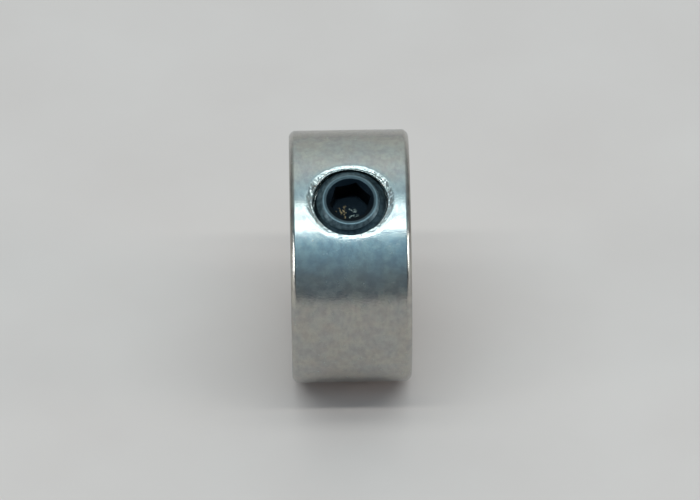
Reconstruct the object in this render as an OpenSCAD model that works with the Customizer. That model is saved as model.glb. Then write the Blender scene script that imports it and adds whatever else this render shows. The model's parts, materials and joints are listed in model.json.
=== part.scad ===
// Set-screw shaft collar, standing on its rim.
// The origin is the middle of the bore. +X runs along the bore, +Z is up, and the set
// screw leans from straight up towards the front, which is -Y.

/* [Ring] */
// Outer diameter of the ring
collar_d = 14.0; // [11.5:0.1:17]
// Width of the ring along the bore
collar_w = 6.6; // [5.5:0.1:8]
// Diameter of the shaft bore
bore_d = 5.0; // [4:0.1:6.5]
// Chamfer on the two outer edges
rim_chamfer = 0.3; // [0.1:0.05:0.4]
// Chamfer at the two mouths of the bore
bore_chamfer = 0.3; // [0.1:0.05:0.4]
// Lean of the set screw from straight up towards the front, in degrees
screw_lean = 23.5; // [0:0.5:45]

/* [Thread] */
// Nominal diameter of the thread
thread_d = 4.0; // [3.4:0.1:4.8]
// Pitch of the thread
thread_pitch = 0.7; // [0.5:0.05:0.8]
// Depth of the thread groove
thread_depth = 0.38; // [0.2:0.02:0.46]
// Gap between the thread's crest and the wall of the tapped hole
thread_gap = 0.06; // [0.02:0.01:0.1]
// How much wider than the thread the countersink is at the rim
sink_margin = 0.88; // [0.3:0.02:0.9]
// Included angle of the countersink, in degrees
sink_angle = 60; // [30:5:90]

/* [Set screw] */
// Length of the set screw
screw_l = 4.0; // [3.3:0.1:4.8]
// How far the screw's tip stands back from the bore
tip_gap = 0.38; // [0.1:0.02:0.5]
// Chamfer round the screw's top face
face_chamfer = 0.46; // [0.2:0.02:0.5]
// Width of the hexagon socket across its flats
key_af = 2.0; // [1.5:0.1:2.4]
// Depth of the hexagon socket
key_depth = 1.6; // [1:0.1:1.8]
// How much wider than the socket's corners its chamfered mouth is
key_margin = 0.36; // [0.1:0.02:0.5]
// Included angle of the socket's chamfered mouth, in degrees
key_angle = 120; // [90:5:130]
// Turn of the hexagon socket about the screw's axis, in degrees
key_turn = 12.5; // [0:0.5:60]
// Diameter of the cup point's sharp rim
cup_d = 2.0; // [1.5:0.1:2.4]
// Depth of the hollow in the cup point
cup_depth = 0.5; // [0.3:0.05:0.6]
// Height of the cone between the thread and the cup's rim
point_l = 0.6; // [0.4:0.05:0.8]

/* [Hidden] */
$fn = 96;
// a cutter runs this far past the face that it opens, in millimetres
over = 1;
collar_r = collar_d / 2;
bore_r = bore_d / 2;
half_w = collar_w / 2;
thread_r = thread_d / 2;
hole_r = thread_r + thread_gap / 2;
crest_r = thread_r - thread_gap / 2;
root_r = crest_r - thread_depth;
sink_r = thread_r + sink_margin / 2;
sink_half = sink_angle / 2;
// heights along the screw's axis, from the middle of the bore
tip_z = bore_r + tip_gap;
face_z = tip_z + screw_l;
hex_r = key_af / 2 / cos(30);
key_floor_z = face_z - key_depth;
// the drill leaves a shallow cone below the socket's floor, a little inside its flats
drill_cone = 0.3;
drill_inset = 0.06;
drill_r = key_af / 2 - drill_inset;
// a groove has a flat floor an eighth of the pitch wide, and straight flanks
groove_floor = thread_pitch / 8;
groove_mouth = thread_pitch * 7 / 8;
groove_top_z = face_z - face_chamfer;
groove_count = floor((screw_l - point_l - face_chamfer) / thread_pitch);

// turn from straight up to the set screw's own axis
module along_screw() {
    rotate([screw_lean, 0, 0]) children();
}

// turn from straight up to the bore's axis
module along_bore() {
    rotate([0, 90, 0]) children();
}

// section of the plain ring: bore wall, bore chamfers, end faces, rim chamfers and rim
module ring_section() {
    polygon([
        [bore_r, half_w - bore_chamfer],
        [bore_r, bore_chamfer - half_w],
        [bore_r + bore_chamfer, -half_w],
        [collar_r - rim_chamfer, -half_w],
        [collar_r, rim_chamfer - half_w],
        [collar_r, half_w - rim_chamfer],
        [collar_r - rim_chamfer, half_w],
        [bore_r + bore_chamfer, half_w]
    ]);
}

// cutter for the tapped hole through one wall, with its countersink at the rim
module tapped_hole() {
    cylinder(r = hole_r, h = collar_r + over);
    sink_low_r = hole_r - over * tan(sink_half);
    sink_low_z = collar_r - (sink_r - sink_low_r) / tan(sink_half);
    translate([0, 0, sink_low_z])
        cylinder(
            r1 = sink_low_r,
            r2 = sink_r + over * tan(sink_half),
            h = collar_r + over - sink_low_z
        );
}

// turned ring, drilled through, with one tapped hole through its wall
module collar_ring() {
    color("lightsteelblue")
        difference() {
            along_bore() rotate_extrude() ring_section();
            along_screw() tapped_hole();
        }
}

// outline of one thread groove, seen from the screw's side
function groove(top_z) = [
    [crest_r, top_z],
    [root_r, top_z - (groove_mouth - groove_floor) / 2],
    [root_r, top_z - (groove_mouth + groove_floor) / 2],
    [crest_r, top_z - groove_mouth]
];

// half section of the screw's outside, from the tip's middle up to the face's middle
module screw_section() {
    grooves = [
        for (i = [0 : groove_count - 1])
            each groove(groove_top_z - i * thread_pitch)
    ];
    polygon(concat(
        [[0, face_z], [crest_r - face_chamfer, face_z]],
        grooves,
        [[crest_r, tip_z + point_l], [cup_d / 2, tip_z], [0, tip_z]]
    ));
}

// cutter for the hexagon socket: chamfered mouth, straight flats and drilled cone floor
module key_socket() {
    mouth_r = hex_r + key_margin / 2;
    mouth_slope = tan(key_angle / 2);
    translate([0, 0, key_floor_z])
        rotate([0, 0, key_turn])
            cylinder(r = hex_r, h = key_depth + over, $fn = 6);
    translate([0, 0, key_floor_z - drill_cone])
        cylinder(r1 = 0, r2 = drill_r, h = drill_cone);
    translate([0, 0, face_z - mouth_r / mouth_slope])
        cylinder(r1 = 0, r2 = mouth_r + over * mouth_slope, h = mouth_r / mouth_slope + over);
}

// set screw with a hexagon socket and a cup point
module set_screw() {
    color("darkslategray")
        along_screw()
            difference() {
                rotate_extrude() screw_section();
                key_socket();
                translate([0, 0, tip_z - over])
                    cylinder(
                        r1 = cup_d / 2 * (1 + over / cup_depth),
                        r2 = 0,
                        h = cup_depth + over
                    );
            }
}

collar_ring();
set_screw();
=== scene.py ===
import json
import math

import bmesh
import bpy
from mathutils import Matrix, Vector


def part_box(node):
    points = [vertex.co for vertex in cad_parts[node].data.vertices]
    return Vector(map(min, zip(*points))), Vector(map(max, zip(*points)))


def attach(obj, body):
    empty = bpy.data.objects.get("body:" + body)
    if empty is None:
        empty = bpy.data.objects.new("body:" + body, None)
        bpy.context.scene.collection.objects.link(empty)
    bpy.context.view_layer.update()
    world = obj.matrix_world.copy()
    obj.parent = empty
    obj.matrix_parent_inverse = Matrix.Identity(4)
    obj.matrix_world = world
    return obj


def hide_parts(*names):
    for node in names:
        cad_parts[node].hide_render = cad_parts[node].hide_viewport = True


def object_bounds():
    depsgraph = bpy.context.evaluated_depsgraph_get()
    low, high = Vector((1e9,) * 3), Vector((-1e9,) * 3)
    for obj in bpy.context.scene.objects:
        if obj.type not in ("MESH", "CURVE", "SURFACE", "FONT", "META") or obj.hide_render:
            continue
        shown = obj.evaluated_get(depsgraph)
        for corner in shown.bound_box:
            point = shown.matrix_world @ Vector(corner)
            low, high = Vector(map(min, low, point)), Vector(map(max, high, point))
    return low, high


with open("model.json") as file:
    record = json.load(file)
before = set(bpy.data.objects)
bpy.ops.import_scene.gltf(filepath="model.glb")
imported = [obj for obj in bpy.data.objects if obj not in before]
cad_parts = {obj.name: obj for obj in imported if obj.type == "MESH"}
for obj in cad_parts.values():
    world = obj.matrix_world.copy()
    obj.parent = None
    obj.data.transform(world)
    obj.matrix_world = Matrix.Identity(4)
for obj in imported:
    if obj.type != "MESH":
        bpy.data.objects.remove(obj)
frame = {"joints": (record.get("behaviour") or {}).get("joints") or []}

MM = 0.001
cad_low, cad_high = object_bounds()

# The view: a long lens in front of the collar and 40 degrees up, a hair to the left and
# rolled a hair, with the collar's middle a little below the middle of the frame.
view_height = math.radians(40)
view_turn = math.radians(0.6)
view_roll = math.radians(-0.5)
view_distance = 315 * MM
aim_above_bore = 0.33 * MM

bpy.ops.object.camera_add()
camera = bpy.context.active_object
camera.name = "view"
camera.data.lens = 291.6
camera.data.sensor_width = 36
camera.data.clip_start = 1 * MM
camera.data.clip_end = 20
towards_view = Vector((
    -math.sin(view_turn) * math.cos(view_height),
    -math.cos(view_turn) * math.cos(view_height),
    math.sin(view_height),
))
level_view = towards_view.to_track_quat("Z", "Y")
camera.location = towards_view * view_distance + level_view @ Vector((0, aim_above_bore, 0))
camera.rotation_euler = level_view.to_euler()
camera.rotation_euler.rotate_axis("Z", view_roll)
bpy.context.scene.camera = camera


# The table: a plain pale board, sealed matt, that the collar stands on. Its tone is a
# little uneven, as on any sanded board.
table_size = 4
board_grain = 90
bpy.ops.mesh.primitive_plane_add(size=table_size, location=(0, 0, cad_low.z))
table = bpy.context.active_object
table.name = "table"
board = bpy.data.materials.new("pale_board")
board.use_nodes = True
nodes, links = board.node_tree.nodes, board.node_tree.links
shader = nodes["Principled BSDF"]
shader.inputs["Roughness"].default_value = 0.6
shader.inputs["Specular IOR Level"].default_value = 0.25
place = nodes.new("ShaderNodeTexCoord")
tone = nodes.new("ShaderNodeTexNoise")
tone.inputs["Scale"].default_value = board_grain
tone.inputs["Detail"].default_value = 5
links.new(place.outputs["Object"], tone.inputs["Vector"])
shade = nodes.new("ShaderNodeValToRGB")
shade.color_ramp.elements[0].position = 0.3
shade.color_ramp.elements[0].color = (0.595, 0.465, 0.412, 1)
shade.color_ramp.elements[1].position = 0.7
shade.color_ramp.elements[1].color = (0.625, 0.495, 0.440, 1)
links.new(tone.outputs["Fac"], shade.inputs["Fac"])
links.new(shade.outputs["Color"], shader.inputs["Base Color"])
table.data.materials.append(board)


# The studio: two wide strips of soft light, a strong narrow one well towards the front and
# a weaker, deeper one almost overhead, with a small square light low at each side. The room
# is dim in front and at the sides and lighter behind the collar.
light_distance = 600 * MM
strip_width = 1000 * MM
front_strip = (68.5, 38 * MM, 1.6)
top_strip = (83.5, 115 * MM, 1.05)

for degrees, depth, power in (front_strip, top_strip):
    height = math.radians(degrees)
    towards_strip = Vector((0, -math.cos(height), math.sin(height)))
    bpy.ops.object.light_add(type="AREA", location=towards_strip * light_distance)
    strip = bpy.context.active_object
    strip.name = "wide_strip"
    strip.data.shape = "RECTANGLE"
    strip.data.size = strip_width
    strip.data.size_y = depth
    strip.data.energy = power
    strip.data.color = (0.82, 0.96, 1.0)
    strip.rotation_euler = towards_strip.to_track_quat("Z", "Y").to_euler()

side_size = 150 * MM
side_power = 0.65
left_side, right_side = Vector((-1, -0.23, 0.17)), Vector((1, -0.19, 0.24))
for side in (left_side, right_side):
    towards_side = side.normalized()
    bpy.ops.object.light_add(type="AREA", location=towards_side * light_distance)
    side_light = bpy.context.active_object
    side_light.name = "side_light"
    side_light.data.size = side_size
    side_light.data.energy = side_power
    side_light.rotation_euler = towards_side.to_track_quat("Z", "Y").to_euler()

room = bpy.data.worlds.new("room")
bpy.context.scene.world = room
room.use_nodes = True
nodes, links = room.node_tree.nodes, room.node_tree.links
sky = nodes["Background"]
place = nodes.new("ShaderNodeTexCoord")
split = nodes.new("ShaderNodeSeparateXYZ")
links.new(place.outputs["Generated"], split.inputs["Vector"])
backwards = nodes.new("ShaderNodeMath")
backwards.operation = "MULTIPLY"
backwards.inputs[1].default_value = -1
links.new(split.outputs["Y"], backwards.inputs[0])
# the walls' tone follows the angle up from the front, over the top and down to the back
arch = nodes.new("ShaderNodeMath")
arch.operation = "ARCTAN2"
links.new(split.outputs["Z"], arch.inputs[0])
links.new(backwards.outputs["Value"], arch.inputs[1])
along = nodes.new("ShaderNodeMath")
along.operation = "DIVIDE"
along.inputs[1].default_value = math.pi
links.new(arch.outputs["Value"], along.inputs[0])
walls = nodes.new("ShaderNodeValToRGB")
room_tones = [
    (0, (0.155, 0.19, 0.215)),
    (22, (0.205, 0.28, 0.335)),
    (40, (0.285, 0.49, 0.65)),
    (55, (0.42, 0.80, 1.07)),
    (100, (0.58, 0.87, 1.02)),
    (128, (0.90, 1.02, 1.07)),
    (152, (0.68, 0.78, 0.79)),
    (180, (0.53, 0.55, 0.54)),
]
ramp = walls.color_ramp
while len(ramp.elements) < len(room_tones):
    ramp.elements.new(0.5)
for stop, (degrees, tone_rgb) in zip(ramp.elements, room_tones):
    stop.position = degrees / 180
    stop.color = (*tone_rgb, 1)
links.new(along.outputs["Value"], walls.inputs["Fac"])
# they are dimmer to the left and right
sideways = nodes.new("ShaderNodeMath")
sideways.operation = "ABSOLUTE"
links.new(split.outputs["X"], sideways.inputs[0])
dimmer = nodes.new("ShaderNodeMapRange")
dimmer.interpolation_type = "SMOOTHSTEP"
dimmer.inputs["From Min"].default_value = 0.3
dimmer.inputs["To Min"].default_value = 1
dimmer.inputs["To Max"].default_value = 0.25
links.new(sideways.outputs["Value"], dimmer.inputs["Value"])
links.new(walls.outputs["Color"], sky.inputs["Color"])
links.new(dimmer.outputs["Result"], sky.inputs["Strength"])
bpy.context.scene.view_settings.view_transform = "Standard"


# The ring: a slice of round steel bar, turned, bored, drilled and tapped across one wall,
# then tumbled and plated, which leaves every edge a little round.
ring_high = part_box("collar_ring")[1]
ring_r = ring_high.z / MM
ring_half_w = ring_high.x / MM
bore_r = 2.5
rim_chamfer = 0.3
bore_chamfer = 0.3
ring_steps = 360
travel = next(joint for joint in frame["joints"] if joint["name"] == "screw_travel")
screw_lean = math.atan2(-travel["axis"][1], travel["axis"][2])

# the tapped hole, along its own axis. Both pieces are made in millimetres with this axis
# straight up, and then leant over and brought to metres
pocket_r = 2.56
pocket_floor_z = 5.75
pocket_steps = 144
rim_across, rim_round = 2.42, 2.25
shoulder_across, shoulder_round = 2.17, 2.06
shoulder_start, shoulder_end = 0.37, 0.52
front_ease = 0.62
shoulder_parts = 7
wall_lean = 0.01
wall_drop = 0.03
ledge_r = 2.014
ledge_shift = 0.004
ledge_drop = 0.1
ledge_parts = 5
tap_crest_r = 2.0
tap_root_r = 1.64
tap_gap = 0.02
tap_low_z, tap_high_z = 0.8, pocket_floor_z + 0.2
pitch = 0.7
smooth_below = math.radians(32)


def clear_selection():
    """Deselect everything, because an operator acts on all that is selected."""
    bpy.ops.object.select_all(action="DESELECT")


def select_only(piece):
    """Make one piece the only one that an operator acts on."""
    clear_selection()
    piece.select_set(True)
    bpy.context.view_layer.objects.active = piece


def pick(piece, kind, test):
    """In edit mode, select the faces or edges of a piece that pass a test."""
    bpy.ops.mesh.select_all(action="DESELECT")
    bpy.ops.mesh.select_mode(type=kind)
    mesh = bmesh.from_edit_mesh(piece.data)
    items = mesh.faces if kind == "FACE" else mesh.edges
    for item in items:
        if kind == "FACE":
            chosen = test(item.calc_center_median(), item.normal)
        else:
            start, end = (corner.co for corner in item.verts)
            chosen = test(start) and test(end) and test((start + end) / 2)
        item.select_set(chosen)
    mesh.select_flush_mode()
    bmesh.update_edit_mesh(piece.data)


def cut(piece, cutter, how="DIFFERENCE"):
    """Cut a piece with a cutter, or keep what the two share, and remove the cutter."""
    select_only(piece)
    change = piece.modifiers.new("cut", "BOOLEAN")
    change.operation = how
    change.solver = "EXACT"
    change.object = cutter
    bpy.ops.object.modifier_apply(modifier=change.name)
    bpy.data.objects.remove(cutter, do_unlink=True)


def thread_rod(crest_r, root_r, gap, low_z, high_z):
    """A threaded rod along Z. gap thickens its ridge on both sides, for the tap."""
    turn_steps = 96
    crest = pitch / 8 + gap
    flank = (pitch - crest - pitch / 4 + gap) / 2
    heights = [0, crest, crest + flank, pitch - flank, pitch]
    radii = [crest_r, crest_r, root_r, root_r, crest_r]
    first = math.floor(low_z / pitch) - 1
    turns = math.ceil(high_z / pitch) - first + 2
    outline = bpy.data.meshes.new("thread_outline")
    outline.from_pydata(
        [(r, 0, first * pitch + h - crest / 2) for r, h in zip(radii, heights)],
        [(i, i + 1) for i in range(4)],
        [],
    )
    rod = bpy.data.objects.new("rod", outline)
    bpy.context.collection.objects.link(rod)
    select_only(rod)
    wind = rod.modifiers.new("wind", "SCREW")
    wind.screw_offset = pitch
    wind.iterations = turns
    wind.steps = turn_steps
    wind.render_steps = turn_steps
    bpy.ops.object.modifier_apply(modifier=wind.name)
    bpy.ops.object.mode_set(mode="EDIT")
    bpy.ops.mesh.select_all(action="SELECT")
    bpy.ops.mesh.remove_doubles(threshold=0.001)
    for level, up in ((low_z, -1), (high_z, 1)):
        bpy.ops.mesh.select_all(action="SELECT")
        bpy.ops.mesh.bisect(
            plane_co=(0, 0, level), plane_no=(0, 0, up), use_fill=True, clear_outer=True
        )
    bpy.ops.mesh.select_all(action="SELECT")
    bpy.ops.mesh.normals_make_consistent(inside=False)
    bpy.ops.object.mode_set(mode="OBJECT")
    return rod


clear_selection()
bpy.ops.mesh.primitive_cylinder_add(
    vertices=ring_steps,
    radius=ring_r,
    depth=2 * ring_half_w,
    end_fill_type="NGON",
    rotation=(0, math.pi / 2, 0),
)
ring = bpy.context.active_object
ring.name = "turned_ring"
bpy.ops.object.transform_apply(location=True, rotation=True, scale=True)
bpy.ops.object.mode_set(mode="EDIT")
pick(ring, "FACE", lambda middle, normal: abs(normal.x) > 0.9)
bpy.ops.mesh.inset(thickness=ring_r - bore_r)
pick(ring, "FACE", lambda middle, normal: abs(normal.x) > 0.9 and middle.yz.length < bore_r / 2)
bpy.ops.mesh.bridge_edge_loops()


def on_end(radius):
    """A test for the edges of one circle on both end faces."""
    return lambda p: abs(p.yz.length - radius) < 0.01 and abs(abs(p.x) - ring_half_w) < 0.01


pick(ring, "EDGE", on_end(ring_r))
bpy.ops.mesh.bevel(offset=rim_chamfer, segments=7, profile=0.36)
pick(ring, "EDGE", on_end(bore_r))
bpy.ops.mesh.bevel(offset=bore_chamfer, segments=4, profile=0.3)
bpy.ops.object.mode_set(mode="OBJECT")

# the pocket is first cut straight, then its wall is drawn again in loops that follow the
# ring's curve: a round shoulder, a short wall, and a ledge that sinks clockwise where the
# thread starts
pocket_top = 2 * ring_r
bpy.ops.mesh.primitive_cylinder_add(
    vertices=pocket_steps,
    radius=pocket_r,
    depth=pocket_top - pocket_floor_z,
    location=(0, 0, (pocket_top + pocket_floor_z) / 2),
)
cut(ring, bpy.context.active_object)


def in_pocket(middle, normal):
    """A test for the faces of the straight pocket: its wall and its floor."""
    inside = middle.xy.length < pocket_r + 0.01 and middle.z > pocket_floor_z - 0.01
    wall = middle.xy.length > pocket_r - 0.02 and abs(normal.z) < 0.1
    floor = normal.z > 0.9 and middle.z < pocket_floor_z + 0.01
    return inside and (wall or floor)


def draw_loop(piece, radius, depth):
    """Extrude the selected loop inwards, to a radius and a depth below the ring's rim."""
    bpy.ops.mesh.extrude_region()
    mesh = bmesh.from_edit_mesh(piece.data)
    for corner in mesh.verts:
        if corner.select:
            angle = math.atan2(corner.co.y, corner.co.x)
            x, y = radius(angle) * math.cos(angle), radius(angle) * math.sin(angle)
            corner.co = (x, y, math.sqrt(ring_r**2 - y**2) - depth(angle))
    bmesh.update_edit_mesh(piece.data)


def oval(across, around):
    """A radius that is longer along the bore than round the ring."""
    return lambda angle: math.hypot(across * math.cos(angle), around * math.sin(angle))


def between(start, end, share):
    """A radius that has gone a share of the way from one loop's radius to another's."""
    return lambda angle: start(angle) + (end(angle) - start(angle)) * share


def uneven(radius, size):
    """The same radius with small waves, as a hand-held deburring tool leaves."""
    return lambda angle: radius(angle) + size * (
        math.sin(5 * angle + 1) + 0.8 * math.sin(9 * angle + 4) + 0.5 * math.sin(17 * angle)
    )


def sunk(angle):
    """How far the ledge has sunk, clockwise from the upper left, as a right-hand thread does."""
    clockwise = (math.pi * 0.85 - angle) % (2 * math.pi)
    return ledge_drop * min(clockwise / math.pi, 1)


rim = uneven(oval(rim_across, rim_round), 0.013)
shoulder = uneven(oval(shoulder_across, shoulder_round), -0.01)


def ledge(angle):
    """The ledge's inner radius: a hair wider than the thread, most of all on the right."""
    return ledge_r + ledge_shift * math.cos(angle)


def shoulder_drop(angle, share=1):
    """How deep the shoulder is a share of the way in. It gets steeper as it goes, and is
    flatter towards the front."""
    slope = shoulder_start + (shoulder_end - shoulder_start) * share / 2
    eased = 1 - front_ease * max(-math.sin(angle), 0) ** 2
    return (rim(angle) - shoulder(angle)) * share * slope * eased


def wall_foot(angle):
    """The radius at the foot of the short wall below the shoulder."""
    return shoulder(angle) - wall_lean


def ledge_top(angle):
    """How deep the foot of the wall is, where the ledge begins."""
    return shoulder_drop(angle) + wall_drop + sunk(angle)


select_only(ring)
bpy.ops.object.mode_set(mode="EDIT")
pick(ring, "FACE", in_pocket)
bpy.ops.mesh.delete(type="FACE")
bpy.ops.mesh.select_mode(type="EDGE")
bpy.ops.mesh.select_all(action="DESELECT")
bpy.ops.mesh.select_non_manifold(extend=False)
draw_loop(ring, rim, lambda angle: 0)
for part in range(1, shoulder_parts + 1):
    share = part / shoulder_parts
    draw_loop(ring, between(rim, shoulder, share), lambda angle: shoulder_drop(angle, share))
draw_loop(ring, wall_foot, ledge_top)
for part in range(1, ledge_parts + 1):
    turn = math.pi / 2 * part / ledge_parts
    draw_loop(
        ring,
        between(wall_foot, ledge, math.sin(turn)),
        lambda angle: ledge_top(angle) + (wall_foot(angle) - ledge(angle)) * (1 - math.cos(turn)),
    )
# the last loop goes straight down to the pocket's floor, which closes it
bpy.ops.mesh.extrude_region()
mesh = bmesh.from_edit_mesh(ring.data)
for corner in mesh.verts:
    if corner.select:
        corner.co.z = pocket_floor_z
bmesh.update_edit_mesh(ring.data)
bpy.ops.mesh.edge_face_add()
bpy.ops.mesh.select_all(action="SELECT")
bpy.ops.mesh.normals_make_consistent(inside=False)
bpy.ops.object.mode_set(mode="OBJECT")

cut(ring, thread_rod(tap_crest_r, tap_root_r, tap_gap, tap_low_z, tap_high_z))


def lean_and_seat(piece):
    """Turn a piece from straight up to the set screw's own axis, and bring it to metres."""
    select_only(piece)
    piece.rotation_euler = (screw_lean, 0, 0)
    piece.scale = (MM, MM, MM)
    bpy.ops.object.transform_apply(location=True, rotation=True, scale=True)


lean_and_seat(ring)
bpy.ops.object.shade_smooth_by_angle(angle=smooth_below)


def new_group(name, inputs, outputs):
    """An empty shader group. An input is a name, a socket type and a value or None, and an
    output is a name and a socket type."""
    group = bpy.data.node_groups.new(name, "ShaderNodeTree")
    for label, kind, value in inputs:
        socket = group.interface.new_socket(label, in_out="INPUT", socket_type=kind)
        if value is not None:
            socket.default_value = value
    for label, kind in outputs:
        group.interface.new_socket(label, in_out="OUTPUT", socket_type=kind)
    return group, group.nodes.new("NodeGroupInput"), group.nodes.new("NodeGroupOutput")


def maths(tree, operation, first, second=None, third=None):
    """A maths node in a tree. Each value is a number or another node's output."""
    node = tree.nodes.new("ShaderNodeMath")
    node.operation = operation
    for socket, value in zip(node.inputs, (first, second, third)):
        if isinstance(value, (int, float)):
            socket.default_value = value
        elif value is not None:
            tree.links.new(value, socket)
    return node.outputs["Value"]


def step_between(tree, value, low, high):
    """A soft step from 0 at low to 1 at high."""
    node = tree.nodes.new("ShaderNodeMapRange")
    node.interpolation_type = "SMOOTHSTEP"
    node.inputs["From Min"].default_value = low
    node.inputs["From Max"].default_value = high
    tree.links.new(value, node.inputs["Value"])
    return node.outputs["Result"]


def add_group(tree, group, vector, **values):
    """A shader group put to use. Each value is named as its input, with _ for a space."""
    node = tree.nodes.new("ShaderNodeGroup")
    node.node_tree = group
    tree.links.new(vector, node.inputs["Vector"])
    for label, value in values.items():
        node.inputs[label.replace("_", " ")].default_value = value
    return node


FLOAT, VECTOR = "NodeSocketFloat", "NodeSocketVector"
# marks that a lathe leaves: fine lines that run round an axis, on rims and faces alike.
# The axis is X of the vector that comes in
lathe_lines, given, result = new_group(
    "lathe_lines",
    [("Vector", VECTOR, None), ("Line Width", FLOAT, 0.00006), ("Line Turn", FLOAT, 5.0)],
    [("Lines", FLOAT)],
)
split = lathe_lines.nodes.new("ShaderNodeSeparateXYZ")
lathe_lines.links.new(given.outputs["Vector"], split.inputs["Vector"])
square_y = maths(lathe_lines, "MULTIPLY", split.outputs["Y"], split.outputs["Y"])
square_z = maths(lathe_lines, "MULTIPLY", split.outputs["Z"], split.outputs["Z"])
off_axis = maths(lathe_lines, "SQRT", maths(lathe_lines, "ADD", square_y, square_z))
across = maths(lathe_lines, "ADD", split.outputs["X"], off_axis)
join = lathe_lines.nodes.new("ShaderNodeCombineXYZ")
lathe_lines.links.new(
    maths(lathe_lines, "DIVIDE", across, given.outputs["Line Width"]), join.inputs["X"]
)
for axis in ("Y", "Z"):
    around = maths(lathe_lines, "DIVIDE", split.outputs[axis], off_axis)
    lathe_lines.links.new(
        maths(lathe_lines, "MULTIPLY", around, given.outputs["Line Turn"]), join.inputs[axis]
    )
lines = lathe_lines.nodes.new("ShaderNodeTexNoise")
lines.inputs["Scale"].default_value = 1
lines.inputs["Detail"].default_value = 3
lathe_lines.links.new(join.outputs["Vector"], lines.inputs["Vector"])
lathe_lines.links.new(lines.outputs["Fac"], result.inputs["Lines"])

# the mottled grain of plated and blackened steel: soft patches of two sizes
mottle, given, result = new_group(
    "metal_mottle",
    [("Vector", VECTOR, None), ("Patch", FLOAT, 0.0003), ("Grain", FLOAT, 0.00008)],
    [("Patches", FLOAT), ("Grains", FLOAT)],
)
for label, size, detail in (("Patches", "Patch", 3), ("Grains", "Grain", 2)):
    cloud = mottle.nodes.new("ShaderNodeTexNoise")
    cloud.inputs["Detail"].default_value = detail
    mottle.links.new(given.outputs["Vector"], cloud.inputs["Vector"])
    mottle.links.new(maths(mottle, "DIVIDE", 1, given.outputs[size]), cloud.inputs["Scale"])
    mottle.links.new(cloud.outputs["Fac"], result.inputs[label])

plated = bpy.data.materials.new("satin_plated_steel")
plated.use_nodes = True
tree = plated.node_tree
nodes, links = tree.nodes, tree.links
shader = nodes["Principled BSDF"]
shader.inputs["Metallic"].default_value = 1
place = nodes.new("ShaderNodeTexCoord")
turned = add_group(tree, lathe_lines, place.outputs["Object"], Line_Width=0.00007, Line_Turn=6.0)
smears = add_group(tree, lathe_lines, place.outputs["Object"], Line_Width=0.00022, Line_Turn=18.0)
patchy = add_group(tree, mottle, place.outputs["Object"], Patch=0.0011, Grain=0.00007)

# the plating is a little bluer or browner from place to place, with smeared stains and
# faint blots where it is smoother
steel = nodes.new("ShaderNodeMix")
steel.data_type = "RGBA"
steel.inputs["A"].default_value = (0.425, 0.43, 0.402, 1)
steel.inputs["B"].default_value = (0.46, 0.45, 0.40, 1)
links.new(step_between(tree, patchy.outputs["Patches"], 0.35, 0.65), steel.inputs["Factor"])
stained = nodes.new("ShaderNodeMix")
stained.data_type = "RGBA"
stained.blend_type = "MULTIPLY"
stained.inputs["B"].default_value = (0.865, 0.87, 0.89, 1)
stains = maths(tree, "MULTIPLY_ADD", patchy.outputs["Grains"], 0.6, smears.outputs["Lines"])
links.new(step_between(tree, stains, 0.6, 1.1), stained.inputs["Factor"])
links.new(steel.outputs["Result"], stained.inputs["A"])
dulled = nodes.new("ShaderNodeMix")
dulled.data_type = "RGBA"
dulled.blend_type = "MULTIPLY"
dulled.inputs["B"].default_value = (0.93, 0.90, 0.92, 1)
blots = add_group(tree, mottle, place.outputs["Object"], Patch=0.00045, Grain=0.00013)
blotted = step_between(tree, blots.outputs["Patches"], 0.40, 0.62)
links.new(blotted, dulled.inputs["Factor"])
links.new(stained.outputs["Result"], dulled.inputs["A"])
links.new(dulled.outputs["Result"], shader.inputs["Base Color"])
rough = maths(tree, "MULTIPLY_ADD", smears.outputs["Lines"], 0.12, 0.215)
rough = maths(tree, "MULTIPLY_ADD", patchy.outputs["Grains"], 0.05, rough)
rough = maths(tree, "MULTIPLY_ADD", blotted, -0.06, rough)
rough = maths(tree, "MULTIPLY_ADD", blots.outputs["Grains"], -0.12, rough)
links.new(rough, shader.inputs["Roughness"])
# the end faces keep the marks of the facing cut, which tumbling wore off the rim
ring_place = nodes.new("ShaderNodeSeparateXYZ")
links.new(place.outputs["Object"], ring_place.inputs["Vector"])
from_middle = maths(tree, "ABSOLUTE", ring_place.outputs["X"])
on_face = step_between(tree, from_middle, (ring_half_w - 0.1) * MM, (ring_half_w - 0.02) * MM)
facing = maths(tree, "MULTIPLY_ADD", on_face, 0.95, 0.05)
tumbled = maths(tree, "MULTIPLY_ADD", on_face, -0.4, 1)
dents = maths(tree, "MULTIPLY", smears.outputs["Lines"], 0.5)
dents = maths(tree, "MULTIPLY_ADD", patchy.outputs["Grains"], 0.7, dents)
height = maths(tree, "MULTIPLY", dents, tumbled)
height = maths(tree, "MULTIPLY_ADD", turned.outputs["Lines"], facing, height)
bump = nodes.new("ShaderNodeBump")
bump.inputs["Strength"].default_value = 1
bump.inputs["Distance"].default_value = 0.0000055
links.new(height, bump.inputs["Height"])

# the pocket's edge is torn a little by the drill, which shows as glints round it
upright = nodes.new("ShaderNodeMapping")
upright.inputs["Rotation"].default_value = (-screw_lean, 0, 0)
links.new(place.outputs["Object"], upright.inputs["Vector"])
pocket_place = nodes.new("ShaderNodeSeparateXYZ")
links.new(upright.outputs["Vector"], pocket_place.inputs["Vector"])
narrowed = maths(tree, "MULTIPLY", pocket_place.outputs["X"], rim_round / rim_across)
from_tap = maths(tree, "SQRT", maths(
    tree, "ADD",
    maths(tree, "MULTIPLY", narrowed, narrowed),
    maths(tree, "MULTIPLY", pocket_place.outputs["Y"], pocket_place.outputs["Y"]),
))
near_edge = maths(
    tree, "MULTIPLY",
    step_between(tree, from_tap, rim_round * MM, (rim_round - 0.12) * MM),
    step_between(tree, pocket_place.outputs["Z"], 5 * MM, 5.5 * MM),
)
tears = nodes.new("ShaderNodeTexNoise")
tears.inputs["Scale"].default_value = 3500
tears.inputs["Detail"].default_value = 1
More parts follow.
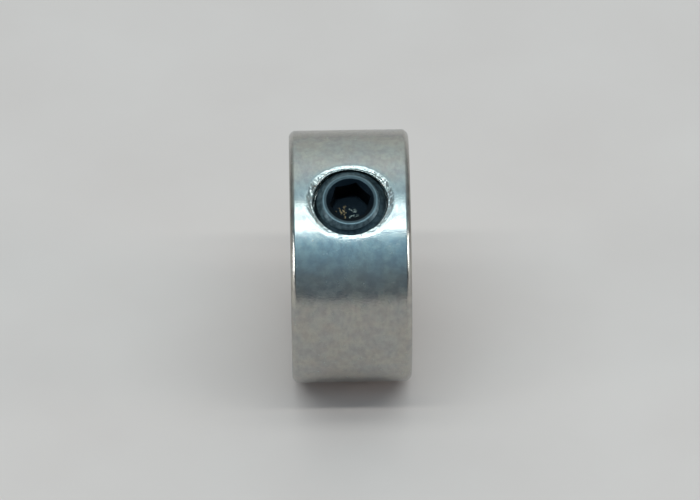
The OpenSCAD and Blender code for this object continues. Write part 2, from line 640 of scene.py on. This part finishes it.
links.new(place.outputs["Object"], tears.inputs["Vector"])
uneven_edge = maths(tree, "SUBTRACT", tears.outputs["Fac"], 0.5)
torn = nodes.new("ShaderNodeBump")
torn.inputs["Strength"].default_value = 1
torn.inputs["Distance"].default_value = 0.00007
links.new(maths(tree, "MULTIPLY", near_edge, uneven_edge), torn.inputs["Height"])
links.new(bump.outputs["Normal"], torn.inputs["Normal"])
links.new(torn.outputs["Normal"], shader.inputs["Normal"])
ring.data.materials.append(plated)
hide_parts("collar_ring")
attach(ring, "ring")


# The set screw: threaded black steel rod cut to length, with a chamfered face, a hexagon
# socket punched into it, and a hollow cup point that bites the shaft.
screw_crest_r = 1.97
screw_root_r = 1.56
tip_z = 2.88
face_z = 6.88
blank_r = 2.3
face_r = 1.50
socket_mouth_r = 1.335
mouth_slope = math.tan(math.radians(60))
key_af = 2.0
key_depth = 1.6
key_turn = math.radians(12.5)
mouth_foot_r = 0.96
drill_r = 0.94
drill_depth = 0.3
drill_overlap = 1.2
point_length = 0.6
cup_r = 1.0
cup_depth = 0.5
cup_scale = 0.25
face_round = 0.035
blank_steps = 128

# the blank is the screw without its thread: face, socket's mouth, point and cup
clear_selection()
chamfer_run = blank_r - face_r
bpy.ops.mesh.primitive_cylinder_add(
    vertices=blank_steps,
    radius=blank_r,
    depth=face_z - tip_z,
    location=(0, 0, (face_z + tip_z) / 2),
)
blank = bpy.context.active_object
bpy.ops.object.transform_apply(location=True, rotation=True, scale=True)
bpy.ops.object.mode_set(mode="EDIT")
pick(blank, "FACE", lambda middle, normal: normal.z > 0.9)
bpy.ops.mesh.inset(thickness=chamfer_run)
pick(blank, "EDGE", lambda p: p.xy.length > blank_r * 0.99 and p.z > face_z * 0.99)
bpy.ops.transform.translate(value=(0, 0, -chamfer_run))
pick(blank, "FACE", lambda middle, normal: normal.z > 0.9 and middle.xy.length < face_r / 2)
bpy.ops.mesh.inset(thickness=face_r - socket_mouth_r)
bpy.ops.mesh.extrude_region()
mouth_scale = mouth_foot_r / socket_mouth_r
bpy.ops.transform.resize(value=(mouth_scale, mouth_scale, 1))
bpy.ops.transform.translate(value=(0, 0, (mouth_foot_r - socket_mouth_r) / mouth_slope))
pick(blank, "FACE", lambda middle, normal: normal.z < -0.9)
bpy.ops.mesh.extrude_region()
point_scale = cup_r / blank_r
bpy.ops.transform.resize(value=(point_scale, point_scale, 1))
pick(blank, "EDGE", lambda p: p.xy.length > blank_r * 0.99 and p.z < tip_z * 1.01)
point_rise = point_length * (blank_r - cup_r) / (screw_crest_r - cup_r)
bpy.ops.transform.translate(value=(0, 0, point_rise))
pick(blank, "FACE", lambda middle, normal: normal.z < -0.9 and middle.xy.length < cup_r / 2)
bpy.ops.mesh.extrude_region()
bpy.ops.transform.resize(value=(cup_scale, cup_scale, 1))
bpy.ops.transform.translate(value=(0, 0, cup_depth))
pick(
    blank,
    "EDGE",
    lambda p: abs(p.z - face_z) < 0.005 and p.xy.length > socket_mouth_r * 0.98,
)
bpy.ops.mesh.bevel(offset=face_round, segments=3, profile=0.5)
bpy.ops.mesh.select_all(action="SELECT")
bpy.ops.mesh.normals_make_consistent(inside=False)
bpy.ops.object.mode_set(mode="OBJECT")

# the hexagon, and the cone that the drill leaves under its floor
clear_selection()
bpy.ops.mesh.primitive_cylinder_add(
    vertices=6,
    radius=key_af / 2 / math.cos(math.pi / 6),
    depth=key_depth + 1,
    location=(0, 0, face_z - key_depth / 2 + 0.5),
    rotation=(0, 0, key_turn - math.pi / 6),
)
cut(blank, bpy.context.active_object)
bpy.ops.mesh.primitive_cone_add(
    vertices=48,
    radius1=0,
    radius2=drill_r * drill_overlap,
    depth=drill_depth * drill_overlap,
    location=(0, 0, face_z - key_depth - drill_depth * (1 - drill_overlap / 2)),
)
cut(blank, bpy.context.active_object)

# the screw is what the blank and a threaded rod share
screw = thread_rod(screw_crest_r, screw_root_r, 0, tip_z - 0.5, face_z + 0.5)
screw.name = "socket_set_screw"
cut(screw, blank, "INTERSECT")
lean_and_seat(screw)
bpy.ops.object.shade_smooth_by_angle(angle=smooth_below)

oxide = bpy.data.materials.new("black_oxide_steel")
oxide.use_nodes = True
tree = oxide.node_tree
nodes, links = tree.nodes, tree.links
shader = nodes["Principled BSDF"]
place = nodes.new("ShaderNodeTexCoord")
# the pattern's Z runs along the screw
upright = nodes.new("ShaderNodeMapping")
upright.inputs["Rotation"].default_value = (-screw_lean, 0, 0)
links.new(place.outputs["Object"], upright.inputs["Vector"])
split = nodes.new("ShaderNodeSeparateXYZ")
links.new(upright.outputs["Vector"], split.inputs["Vector"])
turn_axis = nodes.new("ShaderNodeCombineXYZ")
for source, target in (("Z", "X"), ("X", "Y"), ("Y", "Z")):
    links.new(split.outputs[source], turn_axis.inputs[target])
cut_marks = add_group(
    tree, lathe_lines, turn_axis.outputs["Vector"], Line_Width=0.00005, Line_Turn=4.0
)
patchy = add_group(tree, mottle, upright.outputs["Vector"], Patch=0.00022, Grain=0.00006)
off_axis = maths(tree, "SQRT", maths(
    tree, "ADD",
    maths(tree, "MULTIPLY", split.outputs["X"], split.outputs["X"]),
    maths(tree, "MULTIPLY", split.outputs["Y"], split.outputs["Y"]),
))

black = nodes.new("ShaderNodeMix")
black.data_type = "RGBA"
black.inputs["A"].default_value = (0.065, 0.09, 0.10, 1)
black.inputs["B"].default_value = (0.125, 0.17, 0.185, 1)
links.new(step_between(tree, patchy.outputs["Patches"], 0.35, 0.65), black.inputs["Factor"])

# the oxide is rubbed thin on the round ring of the face, and the thread's grooves are darkened
# with painted shade
near_face = step_between(tree, split.outputs["Z"], (face_z - 0.03) * MM, (face_z - 0.005) * MM)
rubbed = nodes.new("ShaderNodeMix")
rubbed.data_type = "RGBA"
rubbed.inputs["B"].default_value = (0.125, 0.16, 0.168, 1)
links.new(maths(tree, "MULTIPLY", near_face, 0.7), rubbed.inputs["Factor"])
links.new(black.outputs["Result"], rubbed.inputs["A"])
reach = maths(tree, "ADD", off_axis, split.outputs["Z"])
in_groove = maths(
    tree, "MULTIPLY",
    step_between(tree, reach, (face_z + face_r - 0.03) * MM, (face_z + face_r - 0.1) * MM),
    step_between(tree, off_axis, (screw_crest_r - 0.02) * MM, (screw_crest_r - 0.08) * MM),
)

# the socket's inside is darkened further with painted shade, with a few rusty and pale specks on
# its floor
in_socket = maths(
    tree, "MULTIPLY",
    step_between(tree, off_axis, 1.36 * MM, 1.30 * MM),
    step_between(tree, split.outputs["Z"], face_z * MM, (face_z - 0.03) * MM),
)
dark = nodes.new("ShaderNodeMix")
dark.data_type = "RGBA"
# this near-black is painted shade, laid in the socket and, at less strength, in the thread's
# grooves
dark.inputs["B"].default_value = (0.006, 0.009, 0.012, 1)
# painted shade in the thread's grooves, at 0.65 of full strength
groove_shade = maths(tree, "MULTIPLY", in_groove, 0.65)
links.new(maths(tree, "MAXIMUM", groove_shade, in_socket), dark.inputs["Factor"])
links.new(rubbed.outputs["Result"], dark.inputs["A"])
speck_place = nodes.new("ShaderNodeVectorMath")
speck_place.operation = "DISTANCE"
speck_place.inputs[1].default_value = (-0.2 * MM, -0.15 * MM, (face_z - key_depth) * MM)
links.new(upright.outputs["Vector"], speck_place.inputs[0])
specks = nodes.new("ShaderNodeTexNoise")
specks.inputs["Scale"].default_value = 4800
specks.inputs["Detail"].default_value = 2
links.new(upright.outputs["Vector"], specks.inputs["Vector"])
speckled = maths(
    tree, "MULTIPLY",
    step_between(tree, speck_place.outputs["Value"], 0.75 * MM, 0.45 * MM),
    step_between(tree, specks.outputs["Fac"], 0.53, 0.68),
)
rust = nodes.new("ShaderNodeMix")
rust.data_type = "RGBA"
rust.inputs["A"].default_value = (0.27, 0.17, 0.065, 1)
rust.inputs["B"].default_value = (0.33, 0.36, 0.31, 1)
links.new(step_between(tree, split.outputs["X"], -0.3 * MM, 0), rust.inputs["Factor"])
dirty = nodes.new("ShaderNodeMix")
dirty.data_type = "RGBA"
links.new(speckled, dirty.inputs["Factor"])
links.new(dark.outputs["Result"], dirty.inputs["A"])
links.new(rust.outputs["Result"], dirty.inputs["B"])
links.new(dirty.outputs["Result"], shader.inputs["Base Color"])
# the socket, darkened with painted shade, is fully metallic, the rest a little less
socket_metallic = maths(tree, "MULTIPLY_ADD", in_socket, 0.1, 0.9)
links.new(maths(tree, "MULTIPLY_ADD", speckled, -0.8, socket_metallic), shader.inputs["Metallic"])
links.new(
    maths(tree, "MULTIPLY_ADD", patchy.outputs["Grains"], 0.16, 0.34), shader.inputs["Roughness"]
)
height = maths(tree, "MULTIPLY_ADD", cut_marks.outputs["Lines"], 0.5, patchy.outputs["Grains"])
bump = nodes.new("ShaderNodeBump")
bump.inputs["Strength"].default_value = 1
bump.inputs["Distance"].default_value = 0.000004
links.new(height, bump.inputs["Height"])
links.new(bump.outputs["Normal"], shader.inputs["Normal"])
screw.data.materials.append(oxide)
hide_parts("set_screw")
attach(screw, "screw")
